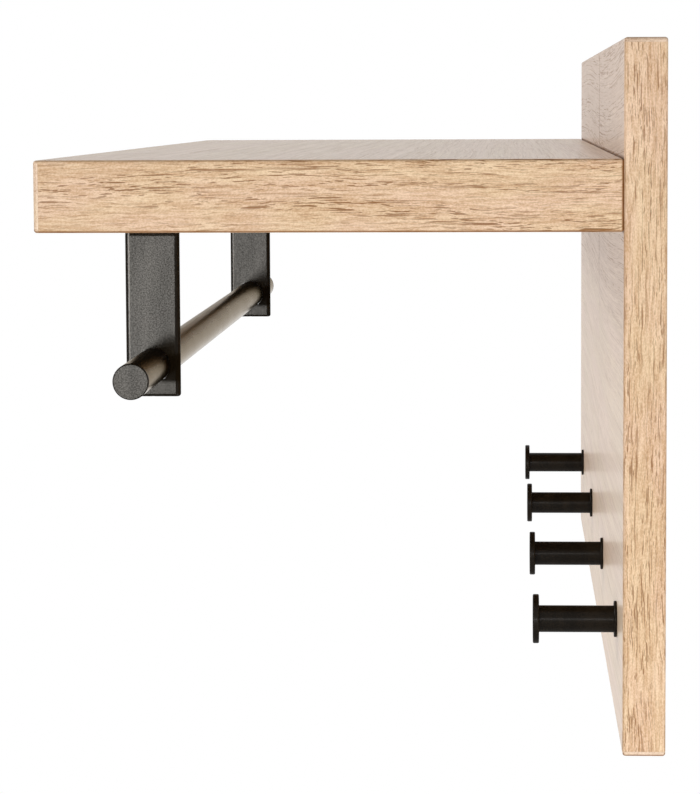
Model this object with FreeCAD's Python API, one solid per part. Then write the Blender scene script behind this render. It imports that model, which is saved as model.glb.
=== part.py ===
import FreeCAD, Part
import math
import os

# Wall coat rack: back panel, shelf, rail on two bent brackets, and a row of peg hooks.
# X runs along the rack, Y = 0 is the wall plane with the room at -Y, Z = 0 is the panel's mid height.

# Boards
rack_length = 800.0
panel_height = 367.0
panel_thickness = 22.0
shelf_depth = 300.0
shelf_thickness = 37.0
shelf_drop = 61.0            # panel top down to shelf top
edge_band = 2.5
arris_round = 1.6

# Shelf to panel joint
dowel_diameter = 8.0
dowel_length = 36.0
dowel_panel_depth = 12.0
dowel_chamfer = 1.0
dowel_inset = 200.0
dowel_count = 3
shelf_screw_diameter = 6.0
shelf_screw_length = 80.0
shelf_screw_inset = 60.0
shelf_screw_count = 4

# Rail brackets, bent from flat bar
bracket_inset = 113.0        # rack end to the bracket's outer face
bar_width = 30.0
bar_thickness = 6.0
bar_edge_round = 2.6
bar_end_round = 1.5
bend_radius = 1.0            # inside of the bend
bracket_drop = 95.8          # shelf underside to the bracket's lower end
foot_length = 60.0
foot_screw_inset = 14.0      # foot end to the first screw
foot_screw_pitch = 24.0
foot_screw_count = 2
foot_screw_diameter = 4.5
foot_screw_length = 30.0

# Hanging rail
rail_diameter = 19.0
rail_wall = 1.5
rail_drop = 78.5             # shelf underside to the rail's axis
rail_setback = 45.5          # shelf front to the rail's axis
rail_end_inset = 23.0        # rack end to rail end
cap_head = 2.0
cap_stem = 12.0
cap_rim_round = 0.6
grub_diameter = 4.0
grub_recess = 0.8
grub_socket = 2.0            # across flats

# Peg hooks
hook_count = 4
hook_inset = 78.0            # rack end to the first hook's axis
hook_height = 56.5           # panel bottom to the hooks' axis
hook_reach = 45.2            # panel face to the front of the head
head_diameter = 26.4
head_thickness = 3.3
head_rim_round = 0.7
head_spigot_diameter = 7.0
head_spigot_length = 6.0
post_diameter = 14.4
rosette_diameter = 19.5
rosette_thickness = 1.5
rosette_rim_chamfer = 0.3
hook_screw_diameter = 5.0
hook_screw_grip = 14.0       # thread inside the post

# Keyhole hanger plates
hanger_inset = 120.0         # rack end to the plate's centre
hanger_drop = 34.0           # panel top to the plate's centre
hanger_width = 20.0
hanger_height = 50.0
hanger_thickness = 2.0
keyhole_entry_diameter = 10.5
keyhole_slot_width = 5.5
keyhole_travel = 11.0        # entry centre up to the slot's end centre
keyhole_entry_drop = 5.0     # plate centre down to the entry centre
head_pocket_depth = 8.0
head_pocket_width = 13.0
hanger_screw_inset = 7.5     # plate end to screw axis
hanger_screw_diameter = 3.5
hanger_screw_length = 14.0

# Countersunk heads and fits
head_ratio = 2.0             # head diameter over shank diameter
point_ratio = 0.8            # point length over shank diameter
recess_ratio = 0.9           # cross recess span over shank diameter
recess_slot_ratio = 0.2      # cross recess slot width over shank diameter
recess_depth_ratio = 0.4     # cross recess depth over shank diameter
fit_gap = 0.1                # all round, between a pin, screw or plate and its hole

# Places that follow from the sizes above
half_length = rack_length / 2
panel_top = panel_height / 2
panel_bottom = -panel_height / 2
panel_front = -panel_thickness
shelf_top = panel_top - shelf_drop
shelf_under = shelf_top - shelf_thickness
shelf_mid = shelf_top - shelf_thickness / 2
shelf_front = panel_front - shelf_depth
rail_y = shelf_front + rail_setback
rail_z = shelf_under - rail_drop
rail_half = half_length - rail_end_inset
bracket_out = half_length - bracket_inset
bracket_low = shelf_under - bracket_drop
hook_z = panel_bottom + hook_height
hanger_z = panel_top - hanger_drop
hanger_x = half_length - hanger_inset

RIGHT = FreeCAD.Vector(1, 0, 0)
BACK = FreeCAD.Vector(0, 1, 0)
FRONT = FreeCAD.Vector(0, -1, 0)
UP = FreeCAD.Vector(0, 0, 1)


def point(x, y, z):
    return FreeCAD.Vector(x, y, z)


def block(low, high):
    size = high - low
    return Part.makeBox(size.x, size.y, size.z, low)


def rod(diameter, start, direction, length):
    return Part.makeCylinder(diameter / 2, length, start, direction)


def spread(inset, count):
    step = (rack_length - 2 * inset) / (count - 1)
    return [-half_length + inset + step * i for i in range(count)]


def cut_all(shape, tools):
    return shape.cut(Part.makeCompound(tools))


def round_edges(turned):
    return [edge for edge in turned.Edges if len(edge.Vertexes) == 1]


def chamfered(turned, size):
    return turned.makeChamfer(size, round_edges(turned))


def along(shape, direction, place):
    """Turn a shape made along +Z to a direction and move it to its place."""
    turned = shape.copy()
    turned.Placement = FreeCAD.Placement(place, FreeCAD.Rotation(UP, direction))
    return turned


def revolved(radius_height_pairs):
    corners = [point(r, 0, h) for r, h in radius_height_pairs]
    outline = Part.makePolygon(corners + corners[:1])
    return Part.Face(outline).revolve(point(0, 0, 0), UP, 360)


def countersunk_screw(diameter, length):
    """Screw along +Z, its flat head at Z = 0 and its point at Z = length."""
    shank = diameter / 2
    head = shank * head_ratio
    tip = diameter * point_ratio
    body = revolved([(0, 0), (head, 0), (shank, head - shank), (shank, length - tip), (0, length)])
    span = diameter * recess_ratio / 2
    slot = diameter * recess_slot_ratio / 2
    depth = diameter * recess_depth_ratio
    cross = [block(point(-span, -slot, 0), point(span, slot, depth)),
             block(point(-slot, -span, 0), point(slot, span, depth))]
    return cut_all(body, cross)


def screw_hole(diameter, length):
    """Clearance for a countersunk screw, its mouth at Z = 0."""
    shank = diameter / 2 + fit_gap
    head = diameter / 2 * head_ratio + fit_gap
    return revolved([(0, 0), (head, 0), (shank, head - shank), (shank, length + fit_gap),
                     (0, length + fit_gap)])


def shelf_screw_places():
    return [point(x, 0, shelf_mid) for x in spread(shelf_screw_inset, shelf_screw_count)]


def dowel_places():
    start = panel_front + dowel_panel_depth
    return [point(x, start, shelf_mid) for x in spread(dowel_inset, dowel_count)]


def hook_places():
    return [point(x, panel_front, hook_z) for x in spread(hook_inset, hook_count)]


def foot_screw_places():
    places = []
    for side in (-1, 1):
        foot_end = bracket_out - foot_length
        for i in range(foot_screw_count):
            x = foot_end + foot_screw_inset + foot_screw_pitch * i
            places.append(point(side * x, rail_y, shelf_under - bar_thickness))
    return places


def hanger_centres():
    return [point(side * hanger_x, 0, hanger_z) for side in (-1, 1)]


def hanger_screw_places():
    reach = hanger_height / 2 - hanger_screw_inset
    return [centre + UP * (side * reach) for centre in hanger_centres() for side in (-1, 1)]


def hook_screw_length():
    return panel_thickness + rosette_thickness + hook_screw_grip


def upright_slot(width, low, high, depth):
    """Round-ended upright prism from the wall plane to a depth, low and high being its arc centres."""
    radius = width / 2
    left = FreeCAD.Vector(-radius, 0, 0)
    right = FreeCAD.Vector(radius, 0, 0)
    edges = [Part.LineSegment(high + left, low + left).toShape(),
             Part.Arc(low + left, low - UP * radius, low + right).toShape(),
             Part.LineSegment(low + right, high + right).toShape(),
             Part.Arc(high + right, high + UP * radius, high + left).toShape()]
    return Part.Face(Part.Wire(edges)).extrude(FRONT * depth)


def plate_outline(centre, gap, depth):
    reach = UP * ((hanger_height - hanger_width) / 2)
    return upright_slot(hanger_width + 2 * gap, centre - reach, centre + reach, depth)


def keyhole_ends(centre):
    entry = centre - UP * keyhole_entry_drop
    return entry, entry + UP * keyhole_travel


def hanger_recess(centre):
    entry, top = keyhole_ends(centre)
    pocket = upright_slot(head_pocket_width, entry, top, hanger_thickness + head_pocket_depth)
    return [plate_outline(centre, fit_gap, hanger_thickness), pocket]


def hanger_plate(centre):
    entry, top = keyhole_ends(centre)
    keyhole = [rod(keyhole_entry_diameter, entry, FRONT, hanger_thickness),
               upright_slot(keyhole_slot_width, entry, top, hanger_thickness)]
    reach = UP * (hanger_height / 2 - hanger_screw_inset)
    hole = screw_hole(hanger_screw_diameter, hanger_screw_length)
    holes = [along(hole, FRONT, centre + reach), along(hole, FRONT, centre - reach)]
    return cut_all(plate_outline(centre, 0, hanger_thickness), keyhole + holes)


def rounded_board(low, high):
    board = block(low, high)
    return board.makeFillet(arris_round, board.Edges)


def panel_pieces():
    """Board and bands, sawn from one block so that the rounded edges run on across the joints."""
    whole = rounded_board(point(-half_length, panel_front, panel_bottom), point(half_length, 0, panel_top))
    inner_x = half_length - edge_band
    low_z = panel_bottom + edge_band
    high_z = panel_top - edge_band
    top = block(point(-half_length, panel_front, high_z), point(half_length, 0, panel_top))
    bottom = block(point(-half_length, panel_front, panel_bottom), point(half_length, 0, low_z))
    left = block(point(-half_length, panel_front, low_z), point(-inner_x, 0, high_z))
    right = block(point(inner_x, panel_front, low_z), point(half_length, 0, high_z))
    core = block(point(-inner_x, panel_front, low_z), point(inner_x, 0, high_z))
    return {"back_panel": drilled_panel(whole.common(core)),
            "panel_top_band": whole.common(top),
            "panel_bottom_band": whole.common(bottom),
            "panel_left_band": whole.common(left),
            "panel_right_band": whole.common(right)}


def drilled_panel(core):
    tools = []
    for centre in hanger_centres():
        tools += hanger_recess(centre)
    for place in shelf_screw_places():
        tools.append(along(screw_hole(shelf_screw_diameter, shelf_screw_length), FRONT, place))
    for place in dowel_places():
        tools.append(rod(dowel_diameter + 2 * fit_gap, place, FRONT, dowel_length))
    for place in hook_places():
        mouth = point(place.x, 0, place.z)
        tools.append(along(screw_hole(hook_screw_diameter, hook_screw_length()), FRONT, mouth))
    for place in hanger_screw_places():
        tools.append(along(screw_hole(hanger_screw_diameter, hanger_screw_length), FRONT, place))
    return cut_all(core, tools)


def shelf_pieces():
    whole = rounded_board(point(-half_length, shelf_front, shelf_under),
                          point(half_length, panel_front, shelf_top))
    inner_x = half_length - edge_band
    inner_y = shelf_front + edge_band
    front = block(point(-half_length, shelf_front, shelf_under), point(half_length, inner_y, shelf_top))
    left = block(point(-half_length, inner_y, shelf_under), point(-inner_x, panel_front, shelf_top))
    right = block(point(inner_x, inner_y, shelf_under), point(half_length, panel_front, shelf_top))
    core = block(point(-inner_x, inner_y, shelf_under), point(inner_x, panel_front, shelf_top))
    return {"shelf_board": drilled_shelf(whole.common(core)),
            "shelf_front_band": whole.common(front),
            "shelf_left_band": whole.common(left),
            "shelf_right_band": whole.common(right)}


def drilled_shelf(core):
    tools = []
    for place in shelf_screw_places():
        tools.append(along(screw_hole(shelf_screw_diameter, shelf_screw_length), FRONT, place))
    for place in dowel_places():
        tools.append(rod(dowel_diameter + 2 * fit_gap, place, FRONT, dowel_length + fit_gap))
    for place in foot_screw_places():
        tools.append(along(screw_hole(foot_screw_diameter, foot_screw_length), UP, place))
    return cut_all(core, tools)


def bar_section(centre):
    """Flat bar section with rounded edges, square to a path that goes up."""
    half_t = bar_thickness / 2
    half_w = bar_width / 2
    section = Part.makePlane(bar_thickness, bar_width, centre - point(half_t, half_w, 0))
    upright = section.extrude(UP)
    corners = [edge for edge in upright.Edges if abs(edge.tangentAt(edge.FirstParameter).z) > 0.5]
    rounded = upright.makeFillet(bar_edge_round, corners)
    low_face = min(rounded.Faces, key=lambda face: face.CenterOfMass.z)
    return low_face.OuterWire


def bracket(side):
    """Flat bar that drops from the shelf, bent inwards at the top to a foot under it."""
    mid_x = bracket_out - bar_thickness / 2
    mid_z = shelf_under - bar_thickness / 2
    turn = bend_radius + bar_thickness / 2
    low = point(side * mid_x, rail_y, bracket_low)
    bend_start = point(side * mid_x, rail_y, mid_z - turn)
    bend_end = point(side * (mid_x - turn), rail_y, mid_z)
    diagonal = turn * (1 - math.sqrt(0.5))
    bend_mid = point(side * (mid_x - diagonal), rail_y, mid_z - diagonal)
    foot_end = point(side * (bracket_out - foot_length), rail_y, mid_z)
    path = Part.Wire([Part.LineSegment(low, bend_start).toShape(),
                      Part.Arc(bend_start, bend_mid, bend_end).toShape(),
                      Part.LineSegment(bend_end, foot_end).toShape()])
    bar = path.makePipeShell([bar_section(low)], True, False)
    ends = [face for face in bar.Faces if is_bar_end(face, low, foot_end)]
    bar = bar.makeFillet(bar_end_round, [edge for face in ends for edge in face.Edges])
    return cut_all(bar, bracket_holes(side))


def is_bar_end(face, low, foot_end):
    middle = face.CenterOfMass
    return (middle - low).Length < bar_end_round or (middle - foot_end).Length < bar_end_round


def bracket_holes(side):
    mid_x = side * (bracket_out - bar_thickness / 2)
    bore_start = point(mid_x - bar_thickness, rail_y, rail_z)
    tools = [rod(rail_diameter + 2 * fit_gap, bore_start, RIGHT, 2 * bar_thickness),
             rod(grub_diameter + 2 * fit_gap, point(mid_x, rail_y, bracket_low), UP, rail_z - bracket_low)]
    hole = screw_hole(foot_screw_diameter, foot_screw_length)
    tools += [along(hole, UP, place) for place in foot_screw_places() if place.x * side > 0]
    return tools


def rail_tube():
    start = point(cap_head - rail_half, rail_y, rail_z)
    length = 2 * (rail_half - cap_head)
    bore = rod(rail_diameter - 2 * rail_wall, start, RIGHT, length)
    return rod(rail_diameter, start, RIGHT, length).cut(bore)


def rail_cap(side):
    """End cap, its flat head as wide as the tube and its stem inside it."""
    inward = RIGHT * -side
    head = rod(rail_diameter, point(0, 0, 0), UP, cap_head)
    rim = [edge for edge in round_edges(head) if edge.CenterOfMass.z < cap_head / 2]
    head = head.makeFillet(cap_rim_round, rim)
    stem = rod(rail_diameter - 2 * (rail_wall + fit_gap), point(0, 0, cap_head), UP, cap_stem)
    return along(head.fuse(stem).removeSplitter(), inward, point(side * rail_half, rail_y, rail_z))


def grub_screw(side):
    """Set screw that presses up against the rail from the bracket's lower edge."""
    low = bracket_low + grub_recess
    high = rail_z - rail_diameter / 2
    place = point(side * (bracket_out - bar_thickness / 2), rail_y, low)
    body = rod(grub_diameter, point(0, 0, 0), UP, high - low - fit_gap)
    hexagon = [point(grub_socket / math.sqrt(3) * math.cos(math.radians(60 * i)),
                     grub_socket / math.sqrt(3) * math.sin(math.radians(60 * i)), 0) for i in range(6)]
    socket = Part.Face(Part.makePolygon(hexagon + hexagon[:1])).extrude(UP * ((high - low) / 2))
    return along(body.cut(socket), UP, place)


def hook_rosette(place):
    disc = chamfered(rod(rosette_diameter, place, FRONT, rosette_thickness), rosette_rim_chamfer)
    return disc.cut(rod(hook_screw_diameter + 2 * fit_gap, place, FRONT, rosette_thickness))


def hook_post(place):
    start = place + FRONT * rosette_thickness
    end = place + FRONT * (hook_reach - head_thickness)
    post = rod(post_diameter, start, FRONT, (end - start).Length)
    thread = rod(hook_screw_diameter + 2 * fit_gap, start, FRONT, hook_screw_grip + fit_gap)
    seat = rod(head_spigot_diameter + 2 * fit_gap, end, BACK, head_spigot_length + fit_gap)
    return cut_all(post, [thread, seat])


def hook_head(place):
    back = place + FRONT * (hook_reach - head_thickness)
    disc = rod(head_diameter, back, FRONT, head_thickness)
    disc = disc.makeFillet(head_rim_round, round_edges(disc))
    return disc.fuse(rod(head_spigot_diameter, back, BACK, head_spigot_length))


def screw_group(diameter, length, direction, places):
    screw = countersunk_screw(diameter, length)
    return Part.makeCompound([along(screw, direction, place) for place in places])


def hook_nodes():
    nodes = {}
    for number, place in enumerate(hook_places(), start=1):
        nodes[f"hook_head_{number}"] = hook_head(place)
        nodes[f"hook_post_{number}"] = hook_post(place)
        nodes[f"hook_rosette_{number}"] = hook_rosette(place)
    return nodes


def fastener_nodes():
    hook_mouths = [point(place.x, 0, place.z) for place in hook_places()]
    dowels = [chamfered(rod(dowel_diameter, place, FRONT, dowel_length), dowel_chamfer)
              for place in dowel_places()]
    return {"shelf_dowels": Part.makeCompound(dowels),
            "shelf_screws": screw_group(shelf_screw_diameter, shelf_screw_length, FRONT,
                                        shelf_screw_places()),
            "bracket_screws": screw_group(foot_screw_diameter, foot_screw_length, UP, foot_screw_places()),
            "hook_screws": screw_group(hook_screw_diameter, hook_screw_length(), FRONT, hook_mouths),
            "hanger_screws": screw_group(hanger_screw_diameter, hanger_screw_length, FRONT,
                                         hanger_screw_places()),
            "rail_grub_screws": Part.makeCompound([grub_screw(-1), grub_screw(1)])}


def all_nodes():
    nodes = {**panel_pieces(), **shelf_pieces(), **hook_nodes(), **fastener_nodes()}
    left_hanger, right_hanger = [hanger_plate(centre) for centre in hanger_centres()]
    nodes["hanger_left"] = left_hanger
    nodes["hanger_right"] = right_hanger
    nodes["bracket_left"] = bracket(-1)
    nodes["bracket_right"] = bracket(1)
    nodes["rail_tube"] = rail_tube()
    nodes["rail_cap_left"] = rail_cap(-1)
    nodes["rail_cap_right"] = rail_cap(1)
    return nodes


os.makedirs("parts", exist_ok=True)
for name, shape in all_nodes().items():
    shape.exportStep(f"parts/{name}.step")
    print(name, "solids", len(shape.Solids), "valid", shape.isValid(), "volume", round(shape.Volume, 1))
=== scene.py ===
import math

import bmesh
import bpy
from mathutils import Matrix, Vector


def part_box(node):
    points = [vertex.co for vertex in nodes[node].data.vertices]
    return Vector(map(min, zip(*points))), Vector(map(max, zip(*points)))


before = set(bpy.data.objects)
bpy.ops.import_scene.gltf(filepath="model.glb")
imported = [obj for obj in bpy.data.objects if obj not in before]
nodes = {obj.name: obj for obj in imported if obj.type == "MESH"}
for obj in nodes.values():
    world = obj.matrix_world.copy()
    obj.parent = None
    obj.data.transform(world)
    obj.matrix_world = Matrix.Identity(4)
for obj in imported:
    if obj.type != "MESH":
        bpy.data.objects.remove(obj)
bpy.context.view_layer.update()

X, Y, Z = range(3)

# Camera, fitted to the corners of the boards, the rail and the hooks in the photograph.
# The place is in metres, the turn in degrees and the lens in millimetres.
CAMERA_PLACE = (1.77067, -0.08034, 0.14972)
CAMERA_TURN = (85.3548, 0.2328, 92.4952)
CAMERA_LENS = 122.858
CAMERA_SHIFT = (-0.05, -0.09)

# The room's light on matt surfaces, and how much less of it comes from above.
ROOM_LEVEL = 0.55
ROOM_TOP_LOSS = 0.22

# How far the floor lies below the panel's middle, its radius, and how much it glows where seen.
FLOOR_DROP = 1.0
FLOOR_RADIUS = 2.6
FLOOR_GLOW = 0.7

# Thickness of the boards' edge bands.
EDGE_BAND = 0.0025

# The panel's veneer: where its two leaves meet, how far apart in the log they were cut, the depths
# below the shelf's underside between which the front turns to painted shade, which goes on up past
# the shelf, and the wave of its grain, which is the place of a crest, that of the next valley and
# the height.
LEAF_JOINT = 0.03
LEAF_SHIFT = 0.05
SHELF_SHADE_DEPTHS = (0.075, 0.010)
PANEL_WAVE = (-0.27, 0.12, 0.009)

# How dark the lines on the boards are: painted shade on upright edges and what level and lower
# edges add to that, the bands' glue lines, painted contact shade where boards meet, and the leaf
# joint with what it adds within the painted shade near the shelf.
UPRIGHT_EDGE_SHADE = 0.21
LEVEL_EDGE_SHADE = 0.28
LOWER_EDGE_SHADE = 0.42
BAND_SEAM = 0.10
CONTACT_SHADE = 0.95
JOINT_FAINT = 0.10
JOINT_DARK = 0.86

# How far behind the brackets' front edge the pale painted highlight line runs.
EDGE_HIGHLIGHT_INSET = 0.0022

HOOKS = 4


def rgb(red, green, blue):
    return (red, green, blue, 1.0)


WHITE = rgb(1.0, 1.0, 1.0)
# Pale paint for the painted highlight on the brackets' front edge.
EDGE_HIGHLIGHT_PAINT = rgb(0.40, 0.39, 0.375)

# Lacquered oak: two hues of the pale wood, the darker streaks, the open pores and the pale grey of
# a painted sheen.
OAK_PALE = rgb(0.85, 0.650, 0.430)
OAK_PINK = rgb(0.87, 0.640, 0.465)
OAK_HONEY = rgb(0.56, 0.340, 0.185)
OAK_PORE = rgb(0.205, 0.076, 0.012)
# Pale grey for the painted sheen.
OAK_SHEEN_GREY = rgb(0.80, 0.76, 0.73)


class Shade:
    """A shader socket that sums and products work on, and the one way to add a node."""

    def __init__(self, tree, socket=None):
        self.tree = tree
        self.socket = socket

    def node(self, kind, settings=None, inputs=None, output=0):
        made = self.tree.nodes.new(kind)
        for name, setting in (settings or {}).items():
            setattr(made, name, setting)
        for name, value in (inputs or {}).items():
            if isinstance(value, Shade):
                self.tree.links.new(value.socket, made.inputs[name])
            else:
                made.inputs[name].default_value = value
        return Shade(self.tree, made.outputs[output])

    def other(self, output):
        """Another output of the same node."""
        return Shade(self.tree, self.socket.node.outputs[output])

    def axes(self):
        """The three coordinates of this place."""
        split = self.node("ShaderNodeSeparateXYZ", None, {0: self})
        return [split.other(axis) for axis in "XYZ"]

    def math(self, operation, first, second=0.0):
        return self.node("ShaderNodeMath", {"operation": operation}, {0: first, 1: second})

    def __add__(self, value):
        return self.math("ADD", self, value)

    def __sub__(self, value):
        return self.math("SUBTRACT", self, value)

    def __mul__(self, value):
        return self.math("MULTIPLY", self, value)

    def __truediv__(self, value):
        return self.math("DIVIDE", self, value)

    def __rsub__(self, value):
        return self.math("SUBTRACT", value, self)

    def __abs__(self):
        return self.math("ABSOLUTE", self)

    __radd__ = __add__
    __rmul__ = __mul__

    def lower(self, value):
        return self.math("MINIMUM", self, value)

    def upper(self, value):
        return self.math("MAXIMUM", self, value)

    def step(self, low, high):
        """0 below low, 1 above high and smooth between them."""
        return self.node("ShaderNodeMapRange", {"interpolation_type": "SMOOTHSTEP"},
                         {"Value": self, "From Min": low, "From Max": high})

    def mix(self, first, second):
        """The colour first where this value is 0, and second where it is 1."""
        return self.node("ShaderNodeMix", {"data_type": "RGBA"},
                         {0: self, 6: first, 7: second}, output=2)

    def noise(self, stretch, detail=2.0, roughness=0.5):
        """Noise on this place, with stretch waves a metre along each axis."""
        place = self.node("ShaderNodeVectorMath", {"operation": "MULTIPLY"}, {0: self, 1: stretch})
        return self.node("ShaderNodeTexNoise", {"noise_dimensions": "3D"},
                         {"Vector": place, "Scale": 1.0, "Detail": detail, "Roughness": roughness})


def new_finish(name):
    """An empty material, and the place on the object that its patterns read."""
    material = bpy.data.materials.new(name)
    material.use_nodes = True
    material.node_tree.nodes.clear()
    place = Shade(material.node_tree).node("ShaderNodeTexCoord").other("Object")
    return material, place


def close_finish(start, inputs, height, bump_distance, bump_strength=0.5):
    """The surface shader with a bump from the height, and the output."""
    bump = start.node("ShaderNodeBump", None, {
        "Height": height, "Strength": bump_strength, "Distance": bump_distance})
    surface = start.node("ShaderNodeBsdfPrincipled", None, {**inputs, "Normal": bump})
    output = start.tree.nodes.new("ShaderNodeOutputMaterial")
    start.tree.links.new(surface.socket, output.inputs["Surface"])


def box_of(*names):
    """The low and high corner of some pieces taken together."""
    corners = [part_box(name) for name in names]
    low = Vector(min(c[0][i] for c in corners) for i in range(3))
    high = Vector(max(c[1][i] for c in corners) for i in range(3))
    return low, high


def nearest(axes, lines):
    """Distance to the nearest of some lines, each given by the planes that meet there."""
    gap = None
    for planes in lines:
        far = None
        for axis, position in planes:
            off = abs(axes[axis] - position)
            far = off if far is None else far.upper(off)
        gap = far if gap is None else gap.lower(far)
    return gap


def painted_edge_shade(axes, box):
    """Painted shade on a board's edges: least on upright ones, and most and widest on lower ones.
    """
    low, high = box
    depth = []
    for i, axis in enumerate(axes):
        middle, half = (low[i] + high[i]) / 2, (high[i] - low[i]) / 2
        depth.append(half - abs(axis - middle))
    least, most = depth[X].lower(depth[Y]), depth[X].upper(depth[Y])
    second = least.upper(most.lower(depth[Z]))
    level = 1 - depth[Z].step(0.001, 0.003)
    under = 1 - (axes[Z] - low.z).step(0.001, 0.003)
    line = 1 - (second * (1 - under * 0.3)).step(0.0003, 0.0010)
    return line * (level * LEVEL_EDGE_SHADE + under * LOWER_EDGE_SHADE + UPRIGHT_EDGE_SHADE)


def along_fibres(along, across, deep, reach, sway):
    """The place that streaks and pores read, stretched along the grain and wandering with it."""
    straight = along.node("ShaderNodeCombineXYZ", None, {0: along, 1: across, 2: deep})
    bend = straight.noise((4.0, 14.0, 14.0), 1.0) - 0.5
    wobble = straight.noise((48.0, 95.0, 95.0), 1.0) - 0.5
    drift = bend * (0.016 * sway) + wobble * (0.0022 * sway)
    return along.node("ShaderNodeCombineXYZ", None,
                      {0: along / reach, 1: across + drift, 2: deep + drift})


def open_pores(fibre, streaks):
    """Short and long pores, crowded into rows, and thin veins, deepest in the darker streaks."""
    rows = fibre.noise((8.0, 130.0, 130.0), 1.0).step(0.38, 0.58)
    veins = fibre.noise((13.0, 850.0, 850.0), 2.0, 0.4).step(0.65, 0.69)
    short_pores = fibre.noise((125.0, 1500.0, 1500.0), 2.0, 0.5).step(0.59, 0.64)
    long_pores = fibre.noise((40.0, 1350.0, 1350.0), 2.0, 0.4).step(0.60, 0.65)
    pores = (short_pores * (rows * 0.6 + 0.3)).upper(long_pores * (rows * 0.7 + 0.3))
    return pores.upper(veins * (streaks * -0.5 + 0.9))


def oak(name, grain, board, seams, contact_shade_lines=(), reach=1.0, sway=1.0, pore_depth=0.85,
        figure=1.0, joint=None, shade_heights=None, wave=None, painted_sheen=0.0, sheen=0.15, lacquer=0.1):
    """Lacquered oak with its grain along the axis that comes first in grain.

    seams are the glue lines of the edge bands, and the contact lines are where another board
    stands against this one, drawn dark as a glue line with painted contact shade. reach stretches
    the streaks and pores, sway is how far the grain wanders, and figure is how strong the streaks
    are. The shade heights are the two heights between which the front is painted darker, as
    painted shade near the shelf, and joint is where two veneer leaves meet, with a line that
    follows that painted shade.
    wave bends the grain: the place of a crest, that of the next valley and the height. The painted
    sheen is how much pale grey is mixed into the colour, a painted reflection of the pale room.
    """
    material, place = new_finish(name)
    axes = place.axes()
    along, across, deep = (axes["xyz".index(letter)] for letter in grain)
    if joint is not None:
        seam = along - joint
        deep = deep + seam.step(-0.0005, 0.0005) * LEAF_SHIFT
    if wave is not None:
        crest, valley, height = wave
        swing = place.math("COSINE", (along - crest) * (math.pi / (valley - crest)))
        across = across - swing * (height / 2)
    fibre = along_fibres(along, across, deep, reach, sway)
    patches = fibre.noise((18.0, 55.0, 55.0), 1.0).step(0.36, 0.64)
    ribbons = fibre.noise((9.0, 150.0, 150.0), 1.0).step(0.36, 0.64)
    streaks = fibre.noise((58.0, 760.0, 760.0), 2.0, 0.6).step(0.36, 0.64)
    hairs = fibre.noise((800.0, 1500.0, 1500.0), 2.0, 0.6).step(0.38, 0.62)
    pores = open_pores(fibre, streaks)
    tone = ribbons * 0.20 + streaks * 0.42 + hairs * 0.38
    # Painted shade: from just below the shelf upward the front gets stronger figure and pores.
    if shade_heights is not None:
        low, high = board
        dark = axes[Z].step(*shade_heights) * (1 - axes[Y].step(low.y, high.y))
        figure = (dark * 0.9 + 0.7) * figure
        pores = pores * (dark * 0.7 + 0.5)
    tone = tone * figure + 0.5 * (1 - figure)
    # Painted shade: the front's tone is darker near and above the shelf and paler lower down.
    if shade_heights is not None:
        tone = tone + 0.16 - dark * 0.88
    colour = tone.mix(OAK_HONEY, patches.mix(OAK_PALE, OAK_PINK))
    # Painted sheen: pale grey mixed into the colour.
    if painted_sheen:
        colour = colour.node("ShaderNodeMix", {"data_type": "RGBA"},
                             {0: painted_sheen, 6: colour, 7: OAK_SHEEN_GREY}, output=2)
    colour = (pores * pore_depth).mix(colour, OAK_PORE)
    # Painted shade along the board's edges.
    lines = painted_edge_shade(axes, board)
    lines = lines.upper((1 - nearest(axes, seams).step(0.00008, 0.0003)) * BAND_SEAM)
    # Painted contact shade, over a glue line, where another board stands against this one.
    if contact_shade_lines:
        lines = lines.upper((1 - nearest(axes, contact_shade_lines).step(0.0005, 0.0014)) * CONTACT_SHADE)
    if joint is not None:
        # The leaf joint line is darker within the painted shade near the shelf.
        leaf_line = 1 - abs(seam).step(0.0016, 0.0040)
        lines = lines.upper(leaf_line * (dark * JOINT_DARK + JOINT_FAINT))
    close_finish(place, {
        "Base Color": lines.mix(colour, OAK_PORE),
        "Roughness": 0.42 + hairs * 0.08 + pores * 0.15,
        "Specular IOR Level": sheen,
        "Coat Weight": (1 - lines) * lacquer,
        "Coat Roughness": 0.22,
    }, height=hairs * 0.25 - pores, bump_distance=0.00010)
    return material


def painted_stub_shadow(axes, middle, radius):
    """Painted shadow of the rail's stub: 1 on the panel's side of a hole through a bracket, about
    as high as the hole.
    """
    side = (axes[Y] - middle.y).step(0.3 * radius, 0.6 * radius)
    off = abs(axes[Z] - (middle.z - 0.15 * radius))
    return side * (1 - off.step(0.65 * radius, radius))


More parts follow.
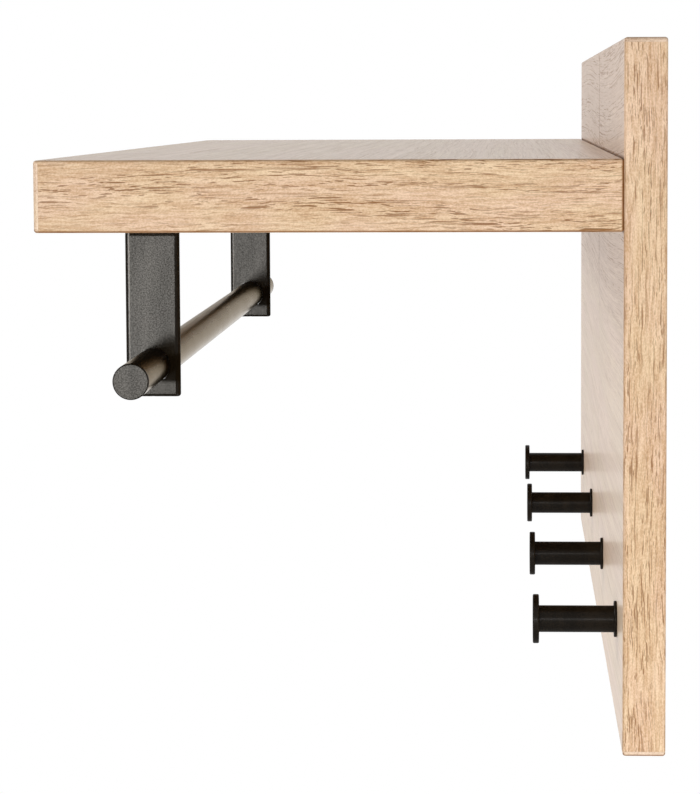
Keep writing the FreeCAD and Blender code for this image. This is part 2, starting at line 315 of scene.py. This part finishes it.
def coated_steel(name, colour, worn, roughness, gloss, sand, highlight_edges=(), hole=None):
    """Powder-coated steel: a sandy gloss, and paler paint along some edges as a painted highlight.
    gloss is the weight of the coat, sand how much that varies, and the highlight edges the lines
    of those edges. hole is the middle and radius of a hole beside which the coat has hardly any
    gloss, a painted shadow of the rail's stub.
    """
    material, place = new_finish(name)
    cloud = place.noise((120.0, 120.0, 20.0), 2.0, 0.5).step(0.32, 0.68)
    grain = place.noise((1300.0, 1300.0, 1300.0), 2.0, 0.6).step(0.32, 0.68)
    paint = (cloud * 0.5 + grain * 0.5).step(0.3, 0.7).mix(colour, worn)
    if highlight_edges:
        # Painted highlight: pale paint along the given edges.
        edge = 1 - nearest(place.axes(), highlight_edges).step(0.0002, 0.0006)
        paint = (edge * (grain * 0.4 + 0.6)).mix(paint, EDGE_HIGHLIGHT_PAINT)
    coat = (1 - sand + (grain * 0.95 + cloud * 0.3) * (1.6 * sand)) * gloss
    # Painted shadow: the coat loses its gloss beside the rail's hole, where the stub's shadow
    # falls.
    if hole is not None:
        coat = coat * (1 - painted_stub_shadow(place.axes(), *hole) * 0.95)
    close_finish(place, {
        "Base Color": paint,
        "Roughness": 0.45 + cloud * 0.15,
        "Specular IOR Level": 0.0,
        "Coat Weight": coat,
        "Coat Roughness": roughness,
    }, height=grain, bump_distance=0.00004)
    return material


def burnished_steel(name, colour, worn, edge, smooth, rough, heights):
    """Dark metal whose reflection turns to the edge colour where it is seen at a flat angle.

    It is smooth at the lower of the two heights and rough at the upper one.
    """
    material, place = new_finish(name)
    rise = place.axes()[Z].step(*heights)
    cloud = place.noise((25.0, 60.0, 60.0), 3.0, 0.6)
    grain = place.noise((1300.0, 1300.0, 1300.0), 2.0)
    close_finish(place, {
        "Base Color": (cloud * 0.5 + grain * 0.5).step(0.3, 0.7).mix(colour, worn),
        "Metallic": 1.0,
        "Specular Tint": edge,
        "Roughness": rise * (rough - smooth) + (smooth - 0.05) + cloud * 0.10,
    }, height=grain, bump_distance=0.00004, bump_strength=0.4)
    return material


def plated_steel(name, colour, stained, roughness):
    """Plated metal with cloudy plating and fine scratches."""
    material, place = new_finish(name)
    cloud = place.noise((90.0, 90.0, 90.0), 4.0, 0.6)
    scratch = place.noise((60.0, 2200.0, 700.0), 2.0)
    close_finish(place, {
        "Base Color": cloud.step(0.35, 0.7).mix(colour, stained),
        "Metallic": 1.0,
        "Roughness": roughness + cloud * 0.15 + scratch * 0.08,
    }, height=scratch, bump_distance=0.00003, bump_strength=0.4)
    return material


def turned_beech(name):
    """Bare beech with small darker flecks."""
    material, place = new_finish(name)
    fibre = place.noise((600.0, 40.0, 600.0), 3.0, 0.6)
    fleck = place.noise((420.0, 160.0, 420.0), 1.0).step(0.6, 0.7)
    colour = fibre.step(0.3, 0.7).mix(rgb(0.55, 0.36, 0.22), rgb(0.68, 0.48, 0.32))
    close_finish(place, {
        "Base Color": (fleck * 0.4).mix(colour, rgb(0.42, 0.25, 0.14)),
        "Roughness": 0.55 + fibre * 0.2,
    }, height=fibre, bump_distance=0.00008)
    return material


def dress(finish, *names):
    """Put one finish on some pieces."""
    for name in names:
        slots = nodes[name].data.materials
        slots.clear()
        slots.append(finish)


def dress_boards():
    panel_box = box_of("back_panel", "panel_top_band", "panel_bottom_band", "panel_left_band",
                       "panel_right_band")
    shelf_box = box_of("shelf_board", "shelf_front_band", "shelf_left_band", "shelf_right_band")
    (panel_low, panel_high), (shelf_low, shelf_high) = panel_box, shelf_box
    panel_seams = [[(X, panel_low.x + EDGE_BAND)], [(X, panel_high.x - EDGE_BAND)],
                   [(Z, panel_low.z + EDGE_BAND)], [(Z, panel_high.z - EDGE_BAND)]]
    shelf_seams = [[(X, shelf_low.x + EDGE_BAND)], [(X, shelf_high.x - EDGE_BAND)],
                   [(Y, shelf_low.y + EDGE_BAND)]]
    # Where the shelf meets the panel, which gets painted contact shade.
    panel_contact_shade = [[(Y, panel_low.y), (Z, shelf_high.z)], [(Y, panel_low.y), (Z, shelf_low.z)]]
    shelf_contact_shade = [[(Y, shelf_high.y)]]
    panel_look = {"reach": 6.0, "sway": 0.2, "pore_depth": 0.45, "wave": PANEL_WAVE,
                  # Painted shade on the front, from just below the shelf upward.
                  "shade_heights": [shelf_low.z - depth for depth in SHELF_SHADE_DEPTHS],
                  # Painted sheen of pale grey on the panel's faces.
                  "painted_sheen": 0.20, "sheen": 0.3, "lacquer": 0.35}
    panel_face = oak("oak_panel_face", "xzy", panel_box, panel_seams, panel_contact_shade,
                     joint=LEAF_JOINT, **panel_look)
    panel_edge = oak("oak_panel_edge", "xzy", panel_box, panel_seams, **panel_look)
    # The shelf's faces get a weaker painted sheen.
    shelf_face = oak("oak_shelf_face", "xyz", shelf_box, shelf_seams, shelf_contact_shade,
                     reach=10.0, sway=0.3, pore_depth=0.20, figure=0.8, painted_sheen=0.10, sheen=0.3,
                     lacquer=0.4)
    panel_end = oak("oak_panel_end", "zyx", panel_box, panel_seams, pore_depth=0.75)
    shelf_end = oak("oak_shelf_end", "yzx", shelf_box, shelf_seams, shelf_contact_shade)
    dress(panel_face, "back_panel")
    dress(panel_edge, "panel_top_band", "panel_bottom_band")
    dress(shelf_face, "shelf_board", "shelf_front_band")
    dress(panel_end, "panel_left_band", "panel_right_band")
    dress(shelf_end, "shelf_left_band", "shelf_right_band")
    dress(turned_beech("beech_dowel"), "shelf_dowels")


def dress_metal():
    bar_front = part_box("bracket_right")[0][Y]
    rail_low, rail_high = box_of("rail_tube")
    rail_middle = (rail_low + rail_high) / 2
    bar_paint = {"colour": rgb(0.006, 0.004, 0.0015), "worn": rgb(0.010, 0.0065, 0.003),
                 "roughness": 0.15, "gloss": 0.175, "sand": 0.55}
    # The brackets get a painted highlight along their front edge and a painted shadow beside the
    # rail's hole.
    bar = coated_steel("bar_black", highlight_edges=[[(Y, bar_front + EDGE_HIGHLIGHT_INSET)]],
                       hole=(rail_middle, rail_high.z - rail_middle.z), **bar_paint)
    cap = coated_steel("cap_black", **bar_paint)
    rail = burnished_steel("rail_black", rgb(0.031, 0.027, 0.021), rgb(0.044, 0.038, 0.031),
                           edge=rgb(0.73, 0.63, 0.50), smooth=0.11, rough=0.295,
                           heights=(rail_low.z, rail_high.z))
    hook = coated_steel("hook_black", rgb(0.006, 0.004, 0.002), rgb(0.012, 0.008, 0.004),
                        roughness=0.28, gloss=0.22, sand=0.2)
    screw = coated_steel("screw_black", rgb(0.010, 0.009, 0.008), rgb(0.018, 0.017, 0.016),
                         roughness=0.34, gloss=0.6, sand=0.2)
    zinc = plated_steel("zinc_plate", rgb(0.62, 0.63, 0.64), rgb(0.48, 0.48, 0.46), roughness=0.28)
    dress(bar, "bracket_left", "bracket_right")
    dress(cap, "rail_cap_left", "rail_cap_right")
    dress(rail, "rail_tube")
    for i in range(1, HOOKS + 1):
        dress(hook, f"hook_head_{i}", f"hook_post_{i}", f"hook_rosette_{i}")
    dress(screw, "bracket_screws", "rail_grub_screws")
    dress(zinc, "shelf_screws", "hook_screws", "hanger_screws", "hanger_left", "hanger_right")


def seen_or_mirrored(start):
    """1 for what the camera sees, also in a mirror or through glass, and 0 for other light."""
    path = start.node("ShaderNodeLightPath")
    seen = path.other("Is Camera Ray").upper(path.other("Is Glossy Ray"))
    return seen.upper(path.other("Is Transmission Ray"))


def white_room():
    """White wherever it is seen or mirrored, and a plain level of light on matt surfaces."""
    world = bpy.data.worlds.new("white_room")
    world.use_nodes = True
    world.node_tree.nodes.clear()
    start = Shade(world.node_tree)
    height = start.node("ShaderNodeTexCoord").other("Generated").axes()[Z]
    level = ROOM_LEVEL - height.step(-0.1, 0.9) * ROOM_TOP_LOSS
    lit = start.node("ShaderNodeBackground", None, {"Color": WHITE, "Strength": level})
    shown = start.node("ShaderNodeBackground", None, {"Color": WHITE, "Strength": 1.0})
    both = start.node("ShaderNodeMixShader", None, {0: seen_or_mirrored(start), 1: lit, 2: shown})
    output = world.node_tree.nodes.new("ShaderNodeOutputWorld")
    world.node_tree.links.new(both.socket, output.inputs["Surface"])
    bpy.context.scene.world = world


def floor_paint():
    """Pale paint that fades out towards the floor's rim."""
    material, place = new_finish("floor_paint")
    radius = place.node("ShaderNodeVectorMath", {"operation": "LENGTH"}, {0: place}).other("Value")
    cloud = place.noise((6.0, 6.0, 6.0), 3.0)
    paint = place.node("ShaderNodeBsdfDiffuse", None, {
        "Color": cloud.mix(rgb(0.86, 0.86, 0.855), rgb(0.89, 0.89, 0.885))})
    glow = place.node("ShaderNodeEmission", None, {"Color": WHITE, "Strength": 1.0})
    pale = place.node("ShaderNodeMixShader", None, {
        0: seen_or_mirrored(place) * FLOOR_GLOW, 1: paint, 2: glow})
    clear = place.node("ShaderNodeBsdfTransparent")
    surface = place.node("ShaderNodeMixShader", None, {
        0: radius.step(FLOOR_RADIUS * 0.5, FLOOR_RADIUS * 0.98), 1: pale, 2: clear})
    output = place.tree.nodes.new("ShaderNodeOutputMaterial")
    place.tree.links.new(surface.socket, output.inputs["Surface"])
    return material


def studio_floor():
    """A pale round floor well below the rack, which fades out into the white room."""
    shape = bmesh.new()
    bmesh.ops.create_circle(shape, cap_ends=True, segments=96, radius=FLOOR_RADIUS)
    bmesh.ops.translate(shape, verts=shape.verts, vec=(0.0, 0.0, -FLOOR_DROP))
    mesh = bpy.data.meshes.new("studio_floor")
    shape.to_mesh(mesh)
    shape.free()
    floor = bpy.data.objects.new("studio_floor", mesh)
    bpy.context.scene.collection.objects.link(floor)
    mesh.materials.append(floor_paint())


def soft_lamp(name, place, target, width, height, power, colour=(1.0, 1.0, 1.0)):
    """An oval lamp that faces its target. Sizes are in metres and the power in watts."""
    data = bpy.data.lights.new(name, "AREA")
    data.shape = "ELLIPSE"
    data.size, data.size_y = width, height
    data.energy = power
    data.color = colour
    lamp = bpy.data.objects.new(name, data)
    lamp.location = place
    lamp.rotation_euler = (Vector(target) - Vector(place)).to_track_quat("-Z", "Y").to_euler()
    bpy.context.scene.collection.objects.link(lamp)


def studio_lamps():
    soft_lamp("end_lamp", place=(2.2, -0.58, -0.09), target=(0.35, -0.25, 0.02),
              width=0.34, height=0.36, power=7.4, colour=(1.0, 0.965, 0.90))
    soft_lamp("corner_lamp", place=(1.89, -2.06, 0.0), target=(0.29, -0.28, 0.0),
              width=0.35, height=0.55, power=8.5)
    soft_lamp("front_lamp", place=(-0.2, -2.3, 0.55), target=(0.0, -0.1, 0.0),
              width=1.2, height=0.8, power=11.0)
    soft_lamp("low_lamp", place=(0.9, 0.40, -0.5), target=(0.4, 0.0, -0.1),
              width=0.6, height=0.6, power=3.2)
    soft_lamp("line_lamp", place=(2.2, 0.0, 0.10), target=(0.0, -0.05, -0.13),
              width=0.25, height=0.10, power=2.2)


def studio_camera():
    data = bpy.data.cameras.new("studio_camera")
    data.sensor_width = 36.0
    data.lens = CAMERA_LENS
    data.shift_x, data.shift_y = CAMERA_SHIFT
    data.clip_start, data.clip_end = 0.05, 50.0
    camera = bpy.data.objects.new("studio_camera", data)
    camera.location = CAMERA_PLACE
    camera.rotation_euler = [math.radians(angle) for angle in CAMERA_TURN]
    bpy.context.scene.collection.objects.link(camera)
    bpy.context.scene.camera = camera


studio_camera()
white_room()
studio_floor()
studio_lamps()
dress_boards()
dress_metal()
bpy.context.scene.view_settings.view_transform = "Standard"
